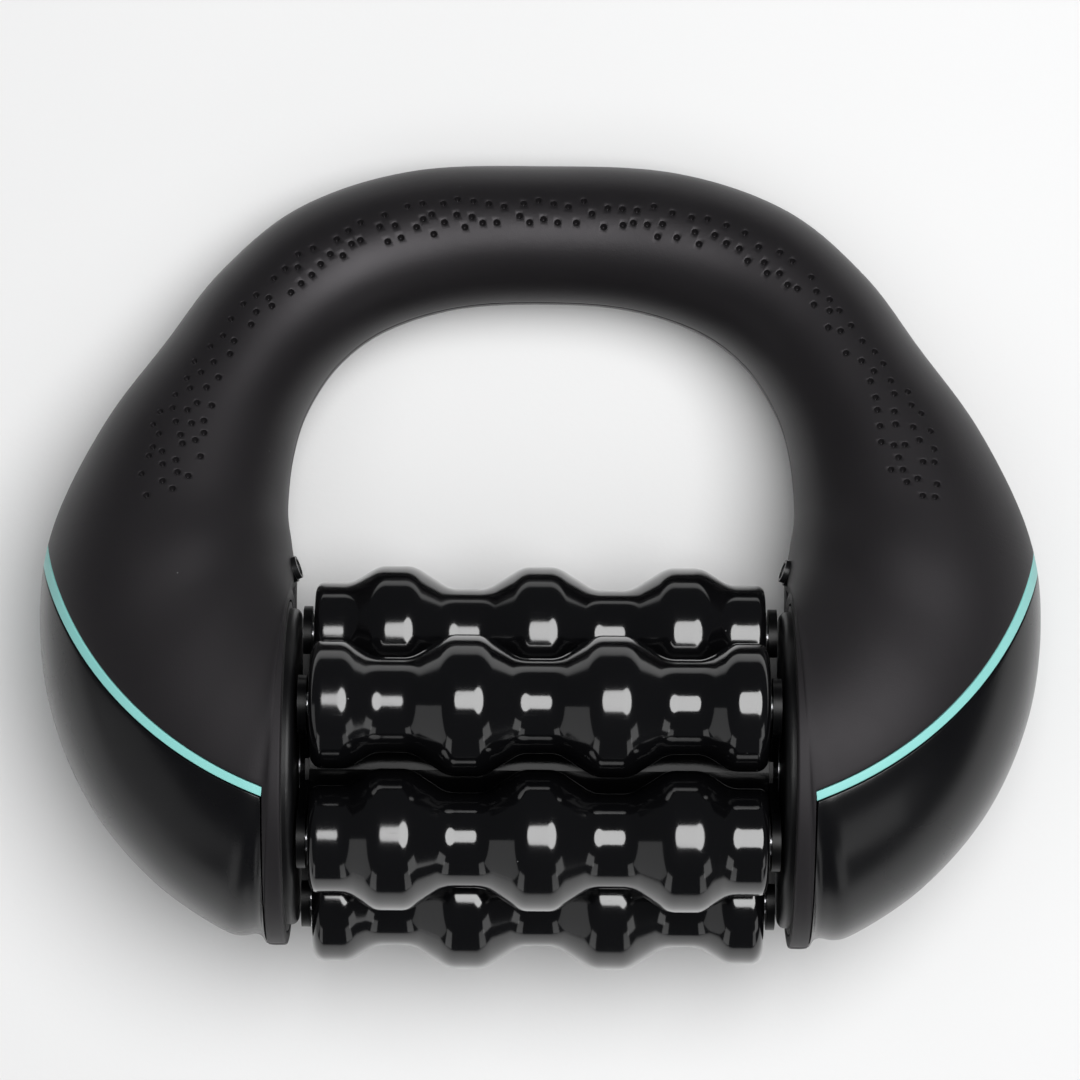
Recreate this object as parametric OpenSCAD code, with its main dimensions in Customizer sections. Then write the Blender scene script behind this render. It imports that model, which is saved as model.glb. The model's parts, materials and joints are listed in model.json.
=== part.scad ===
// Hand-held roller massager: a hollow D-shaped handle that carries a drum of six wavy rollers.
// It lies on a table as it is put down: two rollers and the grip touch z = 0, and the drum turns about X.
// The handle leans about the drum axis. Inside handle_frame() the axes are u = across (the drum axis),
// v = from the drum towards the grip and w = the thickness of the handle.

/* [Handle] */
// Width across both pods
overall_w = 210; // [208:1:212]
// Half thickness of the grip
grip_half_t = 14; // [13:0.5:14.5]
// Wall thickness of the moulded shells
wall = 2.5; // [2:0.1:2.8]
// Radius of the flat round face that each pod turns to the drum
side_r = 37.3; // [37:0.1:38]
// Distance from the middle to that face
side_x = 52.2; // [52:0.1:52.6]

/* [Accent strips] */
// Distance from the middle to the seam under each strip
seam_u = 56; // [55.5:0.1:57]
// Radius of the arc that a strip follows
strip_r = 77.3; // [77:0.1:77.4]
// Width of the groove that a strip lies in
strip_w = 1.8; // [1.6:0.1:2.2]
// Play between a strip and each side of its groove
strip_gap = 0.1; // [0.05:0.01:0.12]

/* [Rollers] */
// Radius of the circle that the roller axles lie on
pitch_r = 27.5; // [27.5:0.1:28]
// Largest radius of a roller
crest_r = 14.5; // [14:0.1:14.5]
// Smallest radius of a roller
valley_r = 9.7; // [9.2:0.1:9.8]
// Distance from one crest to the next
crest_pitch = 30; // [29:0.5:31]
// Half length of a roller
roller_half = 46.8; // [46:0.1:46.8]
// Radius of the axle in each roller
roller_axle_r = 2.5; // [2.3:0.05:2.5]

/* [Drum] */
// Radius of the tube that joins the two roller plates
core_r = 12.3; // [11.5:0.1:12.4]
// Radius of the fixed axle that the drum turns on
axle_r = 4; // [3.9:0.1:4]
// Radius of the round disc between each pod and the drum
boss_r = 33; // [32:0.5:34]

/* [Release buttons] */
// Radius of a button
button_r = 2.4; // [2.2:0.05:2.45]
// Height that a button stands out at rest
button_proud = 1.2; // [1.1:0.1:1.5]

/* [Hidden] */
$fn = 64;
SIDES = ["left", "right"];
ROLLERS = [0 : 5];

// --- how the object lies ---
// Angle of each roller about the drum axis, from straight up towards the grip
roller_angles = [90, 30, -30, -90, -150, 150];
axis_z = pitch_r * cos(30) + crest_r;
grip_v = 115.35;
grip_half_v = 14.85;
flat_tilt = asin((axis_z - grip_half_t) / grip_v);
grip_drop = norm([grip_half_v * sin(flat_tilt), grip_half_t * cos(flat_tilt)]);
tilt = asin((axis_z - grip_drop) / grip_v);
y_front = -(pitch_r + crest_r);
y_back = grip_v * cos(tilt) + norm([grip_half_v * cos(tilt), grip_half_t * sin(tilt)]);
axis_y = -(y_front + y_back) / 2;

// --- handle surface ---
// Cross-sections from the right pod's flat face to the middle of the grip. Each one is a superellipse:
// [inner end u, inner end v, outer end u, outer end v, half thickness, exponent]
strip_center = [28.5, 61];
r_low = strip_r + strip_w / 2;
r_high = strip_r - strip_w / 2;
corner_v = strip_center[1] - sqrt(pow(r_high, 2) - pow(seam_u - strip_center[0], 2));
corner_start = [51.7, 38.3];
// The third section passes through the corner where the strip meets the seam
corner_end = corner_start + 1.51 * ([seam_u, corner_v] - corner_start);
STATIONS = [
    [side_x, side_r, side_x, -side_r, side_r, 2.0],
    [51.9, 37.9, seam_u, -37.1, side_r, 2.0],
    [corner_start[0], corner_start[1], corner_end[0], corner_end[1], side_r - 0.1, 2.0],
    [51.5, 39.0, 65.0, -34.5, side_r - 0.4, 2.0],
    [51.4, 40.2, 80.5, -24.0, 36.0, 2.05],
    [51.6, 41.8, 94.0, -8.0, 34.5, 2.1],
    [52.0, 44.0, 102.5, 12.0, 32.0, 2.15],
    [52.6, 48.0, overall_w / 2, 33.0, 30.0, 2.2],
    [53.5, 55.5, 102.3, 51.0, 26.7, 2.2],
    [52.5, 67.0, 92.6, 72.0, 23.0, 2.2],
    [49.5, 77.0, 80.3, 89.8, 19.8, 2.15],
    [43.0, 87.0, 68.6, 106.2, 17.0, 2.1],
    [33.0, 94.5, 52.0, 120.6, 15.2, 2.05],
    [18.0, 99.3, 28.5, 128.8, 14.3, 2.0],
    [0, grip_v - grip_half_v, 0, grip_v + grip_half_v, grip_half_t, 2.0]
];
last = len(STATIONS) - 1;
function mirrored(s) = [-s[0], s[1], -s[2], s[3], s[4], s[5]];
FULL_LOOP = [for (i = [0 : 2 * last]) i <= last ? STATIONS[i] : mirrored(STATIONS[2 * last - i])];

// Catmull-Rom blend of the sections at position t
function row_at(i) = i < 0 ? 2 * FULL_LOOP[0] - FULL_LOOP[1]
    : i > 2 * last ? 2 * FULL_LOOP[2 * last] - FULL_LOOP[2 * last - 1] : FULL_LOOP[i];
function blend(a, b, c, d, f) =
    (2 * b + (c - a) * f + (2 * a - 5 * b + 4 * c - d) * f * f + (3 * b - a - 3 * c + d) * f * f * f) / 2;
function section(t) = let (i = min(floor(t), 2 * last - 1))
    blend(row_at(i - 1), row_at(i), row_at(i + 1), row_at(i + 2), t - i);

// A point of a section at angle a, drawn in by the given amount
function power(x, e) = sign(x) * pow(abs(x), e);
function section_point(s, a, inset) =
    let (mid = [s[0] + s[2], s[1] + s[3]] / 2, half = [s[2] - s[0], s[3] - s[1]] / 2)
    let (place = mid + half * (1 - inset / norm(half)) * power(cos(a), 2 / s[5]))
    [place[0], place[1], (s[4] - inset) * power(sin(a), 2 / s[5])];

// The angle at which a section crosses the seam, or the arc of radius r where that comes first
function split_angle(section, r) =
    let (s = section[0] + section[2] < 0 ? mirrored(section) : section)
    let (mid = [s[0] + s[2], s[1] + s[3]] / 2, half = [s[2] - s[0], s[3] - s[1]] / 2)
    let (seam = half[0] < 0.01 ? 1 : (seam_u - mid[0]) / half[0])
    let (off = mid - strip_center, b = half * off / (half * half))
    let (arc = -b + sqrt(max(0, b * b - (off * off - r * r) / (half * half))))
    acos(power(min(1, max(seam, arc)), s[5] / 2));

// A curved plate between two angles of the sections at the positions ts: a closed solid of even thickness
patch_steps = 14;
module thick_patch(ts, from_angles, to_angles, steps) {
    rows = len(ts);
    across = steps + 1;
    points = [for (inset = [0, wall], j = [0 : rows - 1], k = [0 : steps])
        section_point(section(ts[j]), from_angles[j] + (to_angles[j] - from_angles[j]) * k / steps, inset)];
    inner = rows * across;
    skin = [for (j = [0 : rows - 2], k = [0 : steps - 1], half = [0, 1])
        let (a = j * across + k, b = a + across)
        half == 0 ? [a, a + 1, b + 1] : [a, b + 1, b]];
    lining = [for (f = skin) [f[0] + inner, f[2] + inner, f[1] + inner]];
    // The rim of the plate runs once round its four edges
    rim = concat([for (k = [0 : steps - 1]) k], [for (j = [0 : rows - 2]) j * across + steps],
        [for (k = [steps : -1 : 1]) (rows - 1) * across + k], [for (j = [rows - 1 : -1 : 1]) j * across]);
    edges = [for (i = [0 : len(rim) - 1], half = [0, 1])
        let (a = rim[i], b = rim[(i + 1) % len(rim)])
        half == 0 ? [a, b + inner, b] : [a, a + inner, b + inner]];
    polyhedron(points = points, faces = concat(skin, lining, edges));
}
// Positions of the cross-sections that the solids use: close together where a cap or a strip comes to a point
CAP_START = 1.02;
CAP_END = 7.45;
STRIP_START = 2;
STRIP_END = 7.7;
SEAM_ROWS = [0, 0.5, 1, CAP_START, 1.1, 1.25, 1.45, 1.7];
POINT_ROWS = [7.2, CAP_END, 7.5, 7.6, STRIP_END, 7.8];
HALF_RUN = concat(SEAM_ROWS, [for (i = [4 : 14]) i / 2], POINT_ROWS, [for (i = [16 : 2 * last - 1]) i / 2]);
RUN = concat(HALF_RUN, [last], [for (i = [len(HALF_RUN) - 1 : -1 : 0]) 2 * last - HALF_RUN[i]]);
CAP_RUN = [for (t = HALF_RUN) if (t >= CAP_START && t <= CAP_END) t];
STRIP_RUN = [for (t = HALF_RUN) if (t >= STRIP_START && t <= STRIP_END) t];
function split_at(t, r) = let (a = split_angle(section(t), r)) a < 0.01 ? 0 : a;

// --- pieces that several modules share ---
// Sections whose middle carries a standoff between the front and back shells
POST_SECTIONS = [5, 8, 11, last, 2 * last - 11, 2 * last - 8, 2 * last - 5];
// Screw posts that hold an end cap to the wall beside the drum: [v, w]
CAP_POSTS = [[-24, 12], [-24, -12]];
post_r = 3.6;
pillar_len = 16.3;
screw_r = 1.5;
screw_head_r = 2.7;
screw_head_h = 1.6;
screw_sink = 1.7;
screw_len = 10;
cap_screw_len = 12;
cap_head_h = 1.4;
hub_r = 12;
hub_end = 62;
axle_half = 60;
nut_t = 4;
boss_face = 49.9;
plate_in = 47.5;
plate_out = 49.3;
web_out = 48.3;
race_in = 42.3;
race_out = 47.3;
drum_hub_r = 9;
bearing_r = 8;
ball_pitch = 6;
ball_r = 1.2;
ball_count = 9;
bush_r = 4;
bush_len = 8;
bush_flange_t = 0.3;
run_gap = 0.05;
button_seat = [51.7, 40.9, 6];
button_yaw = 18;
button_lift = 10;
guide_r = 4.2;
guide_neck_r = button_r + run_gap + 0.4;
guide_step = 3;
guide_len = 10;
guide_shoulder = 2.2;
button_flange_r = 3.2;
button_flange_t = 1;
spring_wire = 0.45;
spring_turns = 4;

module handle_frame() { translate([0, axis_y, axis_z]) rotate([-tilt, 0, 0]) children(); }
module drum_frame() { translate([0, axis_y, axis_z]) children(); }
module on_side(side) { mirror([side == "left" ? 1 : 0, 0, 0]) children(); }
module at_roller(i) {
    a = roller_angles[i];
    drum_frame() translate([0, pitch_r * sin(a), pitch_r * cos(a)]) children();
}
// A round shape about X: children are drawn as [radius, distance along X]
module turned() { rotate([0, 90, 0]) rotate([0, 0, 180]) rotate_extrude() children(); }
module tube(from, to, outer, inner) {
    turned() translate([inner, from]) square([outer - inner, to - from]);
}
module at_button() { translate(button_seat) rotate([0, 90 - button_lift, 180 - button_yaw]) children(); }

// --- handle ---
module half_shell() { thick_patch(RUN, [for (t = RUN) split_at(t, r_high)], [for (t = RUN) 180], patch_steps); }
// The outer shape of a button guide: a neck that reaches up through the wall, on a wider body inside
module guide_blank(rise) {
    translate([0, 0, -guide_len]) cylinder(r = guide_r, h = guide_len - guide_shoulder);
    translate([0, 0, -guide_len]) cylinder(r = guide_neck_r, h = guide_len + rise);
}
module button_ways() {
    for (side = SIDES) on_side(side) at_button() guide_blank(guide_len);
}
module screw_ways() {
    for (t = POST_SECTIONS) at_post(t) {
        translate([0, 0, -section(t)[4] - 10]) cylinder(r = screw_head_r + 0.4, h = 10 + screw_sink);
        translate([0, 0, -section(t)[4] - 1]) cylinder(r = screw_r + 0.2, h = 5);
    }
}
module handle_front_shell() {
    color("#2b2a2c") handle_frame() difference() {
        half_shell();
        button_ways();
    }
}
module handle_back_shell() {
    color("#2b2a2c") handle_frame() difference() {
        mirror([0, 0, 1]) half_shell();
        screw_ways();
    }
}
module end_cap() {
    angles = [for (t = CAP_RUN) split_at(t, r_low)];
    color("#1c1c1e") thick_patch(CAP_RUN, -angles, angles, patch_steps);
}
module accent_strip() {
    low = [for (t = STRIP_RUN) split_at(t, r_low - strip_gap)];
    high = [for (t = STRIP_RUN) split_at(t, r_high + strip_gap)];
    color("#7ddccf") {
        thick_patch(STRIP_RUN, low, high, 2);
        thick_patch(STRIP_RUN, -high, -low, 2);
    }
}
module side_plate() {
    color("#2b2a2c") difference() {
        tube(side_x, side_x + wall, side_r - wall - 0.45, hub_r + 0.02);
        for (p = CAP_POSTS) translate([side_x, p[0], p[1]]) rotate([0, 90, 0]) {
            translate([0, 0, -1]) cylinder(r = screw_head_r + 0.3, h = 1 + cap_head_h);
            cylinder(r = screw_r + 0.1, h = 2 * wall);
        }
    }
}
module at_post(t) {
    s = section(t);
    translate([(s[0] + s[2]) / 2, (s[1] + s[3]) / 2, 0]) children();
}
module standoffs() {
    color("goldenrod") handle_frame() for (t = POST_SECTIONS) at_post(t) {
        reach = section(t)[4] - wall;
        difference() {
            translate([0, 0, -reach + 1.1]) cylinder(r = post_r, h = 2 * reach - 1.1);
            translate([0, 0, -reach]) cylinder(r = screw_r, h = screw_len);
        }
    }
}
module shell_screws() {
    color("silver") handle_frame() for (t = POST_SECTIONS) at_post(t)
        translate([0, 0, -section(t)[4] + screw_sink]) screw(screw_head_h, screw_len);
}
module cap_pillars() {
    color("#1c1c1e") handle_frame() for (side = SIDES, p = CAP_POSTS) on_side(side)
        translate([side_x + wall, p[0], p[1]]) rotate([0, 90, 0]) difference() {
            cylinder(r = post_r, h = pillar_len);
            translate([0, 0, -1]) cylinder(r = screw_r, h = cap_screw_len + 1);
        }
}
module cap_screws() {
    color("silver") handle_frame() for (side = SIDES, p = CAP_POSTS) on_side(side)
        translate([side_x + cap_head_h, p[0], p[1]]) rotate([0, 90, 0]) screw(cap_head_h, cap_screw_len);
}
// A screw along +Z: its head lies below z = 0 and its shank above
module screw(head_h, shank) {
    difference() {
        translate([0, 0, -head_h]) cylinder(r = screw_head_r, h = head_h);
        translate([0, 0, -head_h - 1]) cylinder(r = 1.2, h = 1 + head_h / 2, $fn = 6);
    }
    cylinder(r = screw_r, h = shank);
}

// --- what carries the drum ---
module bearing_boss() {
    rim = 1.5;
    color("#202022") turned() difference() {
        union() {
            intersection() {
                translate([0, boss_face]) square([boss_r, side_x - boss_face]);
                union() {
                    translate([0, boss_face]) square([boss_r - rim, rim]);
                    translate([0, boss_face + rim]) square([boss_r, rim]);
                    translate([boss_r - rim, boss_face + rim]) circle(r = rim);
                }
            }
            translate([0, side_x]) square([hub_r, hub_end - side_x]);
        }
        translate([0, 40]) square([axle_r + 0.01, axle_half - 40]);
        translate([0, axle_half - 1]) square([2.2, 4]);
    }
}
module ring_nut() {
    color("#3a3a3d") difference() {
        translate([side_x + wall, 0, 0]) rotate([0, 90, 0]) cylinder(r = hub_r + 4, h = nut_t, $fn = 12);
        tube(side_x, side_x + wall + nut_t + 1, hub_r + 0.03, 0);
    }
}
module drum_axle() {
    color("silver") drum_frame() difference() {
        tube(-axle_half, axle_half, axle_r, 0);
        for (side = SIDES) on_side(side) tube(axle_half - 12, axle_half + 1, 2.02, 0);
    }
}
module axle_collars() {
    color("silver") drum_frame() for (side = SIDES) on_side(side)
        tube(race_out, boss_face, axle_r + 1.6, axle_r + 0.01);
}
module axle_washers() {
    color("silver") drum_frame() for (side = SIDES) on_side(side) tube(hub_end, hub_end + 1, 5.5, 2.1);
}
module axle_bolts() {
    color("silver") drum_frame() for (side = SIDES) on_side(side) {
        tube(axle_half - 10, hub_end + 1, 2, 0);
        translate([hub_end + 1, 0, 0]) rotate([0, 90, 0]) cylinder(r = 4, h = 2.8, $fn = 6);
    }
}
module race(from_r, to_r) {
    color("silver") turned() difference() {
        translate([from_r, race_in]) square([to_r - from_r, race_out - race_in]);
        translate([ball_pitch, (race_in + race_out) / 2]) circle(r = ball_r + run_gap);
    }
}
module bearing_balls() {
    color("silver") for (k = [0 : ball_count - 1]) rotate([360 * k / ball_count, 0, 0])
        translate([(race_in + race_out) / 2, 0, ball_pitch]) sphere(r = ball_r, $fn = 32);
}

// --- release buttons ---
module button_guide() {
    color("#1c1c1e") handle_frame() children();
}
module guide_solid() {
    at_button() difference() {
        guide_blank(0.1);
        translate([0, 0, -guide_step - 1]) cylinder(r = button_r + run_gap, h = guide_step + 3);
        translate([0, 0, -guide_len + 1]) cylinder(r = button_flange_r + 0.2, h = guide_len - guide_step - 1);
    }
}
module button_solid() {
    color("#141416") at_button() {
        difference() {
            translate([0, 0, -guide_step - run_gap]) cylinder(r = button_r, h = guide_step + button_proud);
            translate([0, 0, button_proud - 0.3]) cylinder(r = button_r - 0.6, h = 2);
        }
        translate([0, 0, -guide_step - run_gap - button_flange_t])
            cylinder(r = button_flange_r, h = button_flange_t);
    }
}
spring_low = -guide_len + 1;
spring_high = -guide_step - run_gap - button_flange_t;
coil_r = 2.2;
coil_sides = 6;
coil_rings = 14 * spring_turns;
function coil_point(k, s) =
    let (a = 360 * spring_turns * k / coil_rings, b = 360 * s / coil_sides)
    let (r = coil_r + spring_wire / 2 * cos(b))
    let (rise = spring_high - spring_low - 1.2 * spring_wire)
    [r * cos(a), r * sin(a), spring_low + 0.6 * spring_wire + rise * k / coil_rings + spring_wire / 2 * sin(b)];
module spring_solid() {
    points = [for (k = [0 : coil_rings], s = [0 : coil_sides - 1]) coil_point(k, s)];
    start = [for (s = [coil_sides - 1 : -1 : 0]) s];
    end = [for (s = [0 : coil_sides - 1]) coil_rings * coil_sides + s];
    walls = [for (k = [0 : coil_rings - 1], s = [0 : coil_sides - 1], half = [0, 1])
        let (n = (s + 1) % coil_sides, a = k * coil_sides, b = a + coil_sides)
        half == 0 ? [a + s, a + n, b + n] : [a + s, b + n, b + s]];
    color("silver") at_button() polyhedron(points = points, faces = concat([start, end], walls));
}

// --- drum ---
module drum_core() {
    color("#1a1a1c") drum_frame() difference() {
        tube(-plate_in, plate_in, core_r, 0);
        tube(-plate_in - 1, plate_in + 1, bearing_r, 0);
        for (side = SIDES) on_side(side) tube(race_in - 1, plate_in + 1, drum_hub_r, 0);
    }
}
module drum_plate() {
    lobe_r = 6;
    color("#1a1a1c") difference() {
        union() {
            for (i = ROLLERS) rotate([-roller_angles[i], 0, 0]) {
                translate([plate_in, -4.5, 10.6]) cube([plate_out - plate_in, 9, pitch_r - 10.6]);
                translate([0, 0, pitch_r]) tube(plate_in, plate_out, lobe_r, 0);
            }
            tube(plate_in, web_out, core_r + 0.7, 0);
        }
        tube(plate_in - 1, web_out + 1, drum_hub_r + 0.01, 0);
        tube(web_out, plate_out + 1, drum_hub_r + 1.6, 0);
        for (i = ROLLERS) rotate([-roller_angles[i], 0, 0])
            translate([0, 0, pitch_r]) tube(plate_in - 1, plate_out + 1, roller_axle_r, 0);
    }
}
module drum_hub() {
    flange_out = plate_out + 0.2;
    color("silver") turned() difference() {
        union() {
            translate([0, race_in - 1]) square([drum_hub_r, web_out - race_in + 1]);
            polygon([[0, web_out], [drum_hub_r, web_out], [drum_hub_r + 1.3, flange_out], [0, flange_out]]);
        }
        translate([0, race_in - 2]) square([bearing_r, race_out - race_in + 2]);
        translate([0, race_in - 2]) square([bearing_r - 1.5, 12]);
    }
}
module roller_axles() {
    color("silver") for (i = ROLLERS) at_roller(i) tube(-plate_out + 0.1, plate_out - 0.1, roller_axle_r, 0);
}

// --- rollers ---
crest_flat = 2;
slope_len = 10.8;
slope_ease = 0.3;
// The wave stops here, and a plain band runs on from it to the roller's end
band_start = 39.2;
band_ease = 1.5;
// 0 to 1 along a straight slope with eased ends
function ramp(t) = t <= 0 ? 0 : t >= 1 ? 1
    : t < slope_ease ? t * t / (2 * slope_ease * (1 - slope_ease))
    : t > 1 - slope_ease ? 1 - (1 - t) * (1 - t) / (2 * slope_ease * (1 - slope_ease))
    : (t - slope_ease / 2) / (1 - slope_ease);
function crest_distance(x, shift) =
    let (p = (x - shift) / crest_pitch) abs(p - round(p)) * crest_pitch;
function held(x) = x < band_start - band_ease ? x : x > band_start + band_ease ? band_start
    : x - pow(x - band_start + band_ease, 2) / (4 * band_ease);
function wave_r(x, shift) =
    crest_r - (crest_r - valley_r) * ramp((crest_distance(held(x), shift) - crest_flat) / slope_len);
wave_steps = 32;
module roller_profile(shift, corner) {
    reach = roller_half - corner;
    end_r = wave_r(roller_half, shift);
    half_wave = [for (k = [0 : wave_steps]) let (x = reach * k / wave_steps) [wave_r(x, shift), x]];
    round_end = [for (a = [15 : 15 : 90]) [end_r - corner + corner * cos(a), reach + corner * sin(a)]];
    right = concat(half_wave, round_end);
    left = [for (k = [len(right) - 1 : -1 : 1]) [right[k][0], -right[k][1]]];
    polygon(concat([[0, -roller_half]], left, right, [[0, roller_half]]));
}
module roller(i) {
    // Neighbouring rollers are half a pitch apart, so that a crest runs in the next one's valley
    shift = i % 2 == 0 ? 0 : crest_pitch / 2;
    corner = i % 2 == 0 ? 1.8 : 2.6;
    color("#0c0c0e") at_roller(i) difference() {
        turned() roller_profile(shift, corner);
        tube(-roller_half - 1, roller_half + 1, roller_axle_r + 0.6, 0);
        for (side = SIDES) on_side(side) tube(roller_half - bush_len, roller_half + 1, bush_r, 0);
    }
}
module roller_bushes(i) {
    color("#1e1e20") at_roller(i) for (side = SIDES) on_side(side) {
        tube(roller_half - bush_len, roller_half + bush_flange_t, bush_r, roller_axle_r + run_gap);
        tube(roller_half, roller_half + bush_flange_t, bush_r + 1.5, bush_r - 0.5);
    }
}

handle_front_shell();
handle_back_shell();
for (side = SIDES) {
    handle_frame() on_side(side) end_cap();
    handle_frame() on_side(side) accent_strip();
    drum_frame() on_side(side) bearing_boss();
    handle_frame() on_side(side) side_plate();
    drum_frame() on_side(side) ring_nut();
    drum_frame() on_side(side) race(axle_r + 0.01, 5.25);
    drum_frame() on_side(side) race(6.75, bearing_r);
    drum_frame() on_side(side) bearing_balls();
    drum_frame() on_side(side) drum_plate();
    drum_frame() on_side(side) drum_hub();
    button_guide() on_side(side) guide_solid();
    handle_frame() on_side(side) button_solid();
    handle_frame() on_side(side) spring_solid();
}
standoffs();
cap_pillars();
shell_screws();
cap_screws();
drum_axle();
axle_collars();
axle_washers();
axle_bolts();
drum_core();
roller_axles();
for (i = ROLLERS) {
    roller(i);
    roller_bushes(i);
}
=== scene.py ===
"""Looks of the hand-held roller massager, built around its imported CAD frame.

Shapes are worked out in millimetres in the handle's own axes: u across, v from the drum towards the grip,
w the thickness. to_world() turns them into metres in the shared frame.
"""
import json
import math
import random

import bpy
import numpy as np
from mathutils import Matrix, Vector


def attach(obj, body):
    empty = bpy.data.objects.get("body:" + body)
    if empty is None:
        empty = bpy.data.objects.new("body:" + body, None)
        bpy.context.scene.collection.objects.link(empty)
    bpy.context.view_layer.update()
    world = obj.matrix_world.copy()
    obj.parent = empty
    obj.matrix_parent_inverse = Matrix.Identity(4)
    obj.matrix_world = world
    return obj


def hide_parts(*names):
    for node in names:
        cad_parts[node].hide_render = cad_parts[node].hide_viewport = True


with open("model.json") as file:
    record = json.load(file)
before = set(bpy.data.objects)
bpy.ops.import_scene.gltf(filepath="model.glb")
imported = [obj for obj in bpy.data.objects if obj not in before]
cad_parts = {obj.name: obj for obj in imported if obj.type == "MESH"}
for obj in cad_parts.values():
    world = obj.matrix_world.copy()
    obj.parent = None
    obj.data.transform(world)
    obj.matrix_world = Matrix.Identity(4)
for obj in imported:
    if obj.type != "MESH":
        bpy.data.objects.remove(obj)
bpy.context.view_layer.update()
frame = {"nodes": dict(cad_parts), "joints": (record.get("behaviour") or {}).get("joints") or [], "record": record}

MM = 0.001
JOINTS = {j["name"]: j for j in frame["joints"]}
AXIS = np.array(JOINTS["drum_spin"]["pos_m"]) / MM  # the drum axis, mm
SIDES = {"left": -1, "right": 1}

# ---------------------------------------------------------------- handle surface, as in part.scad
SIDE_X = 52.2  # the flat face that each pod turns to the drum
SIDE_R = 37.3
OVERALL_W = 210.0
WALL = 2.5
SEAM_U = 56.0  # the seam under each strip
STRIP_CENTER = np.array([28.5, 61.0])  # of the arc that the right strip follows
STRIP_R = 77.3
STRIP_W = 1.8
R_LOW = STRIP_R + STRIP_W / 2
R_HIGH = STRIP_R - STRIP_W / 2
GRIP_V = 115.35
GRIP_HALF_V = 14.85
GRIP_HALF_T = 14.0
# The handle leans until its round grip touches the table; flat_tilt is the first estimate of that
flat_tilt = math.asin((AXIS[2] - GRIP_HALF_T) / GRIP_V)
grip_drop = math.hypot(GRIP_HALF_V * math.sin(flat_tilt), GRIP_HALF_T * math.cos(flat_tilt))
TILT = math.asin((AXIS[2] - grip_drop) / GRIP_V)

corner_v = STRIP_CENTER[1] - math.sqrt(R_HIGH**2 - (SEAM_U - STRIP_CENTER[0]) ** 2)
corner_start = np.array([51.7, 38.3])
CORNER_RUN = 1.51  # this section's length, in lengths of its run up to the corner of strip and seam
corner_end = corner_start + CORNER_RUN * (np.array([SEAM_U, corner_v]) - corner_start)
# Superelliptic sections from the right pod's flat face to the middle of the grip:
# [inner end u, inner end v, outer end u, outer end v, half thickness, exponent]
STATIONS = np.array([
    [SIDE_X, SIDE_R, SIDE_X, -SIDE_R, SIDE_R, 2.0],
    [51.9, 37.9, SEAM_U, -37.1, SIDE_R, 2.0],
    [*corner_start, *corner_end, SIDE_R - 0.1, 2.0],
    [51.5, 39.0, 65.0, -34.5, SIDE_R - 0.4, 2.0],
    [51.4, 40.2, 80.5, -24.0, 36.0, 2.05],
    [51.6, 41.8, 94.0, -8.0, 34.5, 2.1],
    [52.0, 44.0, 102.5, 12.0, 32.0, 2.15],
    [52.6, 48.0, OVERALL_W / 2, 33.0, 30.0, 2.2],
    [53.5, 55.5, 102.3, 51.0, 26.7, 2.2],
    [52.5, 67.0, 92.6, 72.0, 23.0, 2.2],
    [49.5, 77.0, 80.3, 89.8, 19.8, 2.15],
    [43.0, 87.0, 68.6, 106.2, 17.0, 2.1],
    [33.0, 94.5, 52.0, 120.6, 15.2, 2.05],
    [18.0, 99.3, 28.5, 128.8, 14.3, 2.0],
    [0, GRIP_V - GRIP_HALF_V, 0, GRIP_V + GRIP_HALF_V, GRIP_HALF_T, 2.0],
])
LAST = len(STATIONS) - 1  # the position at the middle of the grip
END = 2 * LAST  # the position at the left pod's flat face
MIRROR = np.array([-1, 1, -1, 1, 1, 1])
# The sections of the whole handle, with one more at each end that only guides the curve
LOOP = np.vstack([STATIONS, (STATIONS * MIRROR)[-2::-1]])
LOOP = np.vstack([2 * LOOP[0] - LOOP[1], LOOP, 2 * LOOP[-1] - LOOP[-2]])


def section(t):
    """The handle's cross-section at position t, on a smooth curve through the stations.

    t is 0 at the right pod's flat face, LAST at the middle of the grip and END at the left pod's face.
    """
    t = np.asarray(t, float)
    i = np.clip(np.floor(t).astype(int), 0, END - 1)
    f = (t - i)[..., None]
    a, b, c, d = LOOP[i], LOOP[i + 1], LOOP[i + 2], LOOP[i + 3]
    return (2 * b + (c - a) * f + (2 * a - 5 * b + 4 * c - d) * f**2 + (3 * b - a - 3 * c + d) * f**3) / 2


def middle_and_half(s):
    """The middle of a section in (u, v), and half the way from its inner to its outer end."""
    return (s[..., 0:2] + s[..., 2:4]) / 2, (s[..., 2:4] - s[..., 0:2]) / 2


def power(x, e):
    """x to the power e, with the sign of x."""
    return np.sign(x) * np.abs(x) ** e


def surface(t, angle, inset=0.0):
    """Points (u, v, w) on the handle at position t and angle, drawn in by inset."""
    s = section(t)
    mid, half = middle_and_half(s)
    e = 2 / s[..., 5]
    along = (1 - inset / np.linalg.norm(half, axis=-1)) * power(np.cos(angle), e)
    place = mid + half * along[..., None]
    return np.stack([place[..., 0], place[..., 1], (s[..., 4] - inset) * power(np.sin(angle), e)], -1)


def split_angle(t, r, seam_u=SEAM_U):
    """The angle where the section at t crosses the seam, or the arc of radius r where that comes first."""
    s = section(t)
    s = np.where((s[..., 0:1] + s[..., 2:3]) < 0, s * MIRROR, s)
    mid, half = middle_and_half(s)
    least = 0.01  # a section that runs less far across doesn't reach the seam
    seam = np.where(half[..., 0] < least, 1.0, (seam_u - mid[..., 0]) / np.maximum(half[..., 0], least))
    off, size = mid - STRIP_CENTER, (half**2).sum(-1)
    b = (half * off).sum(-1) / size
    arc = -b + np.sqrt(np.maximum(0, b * b - ((off**2).sum(-1) - r * r) / size))
    return np.arccos(np.minimum(1, np.maximum(seam, arc)) ** (s[..., 5] / 2))


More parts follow.
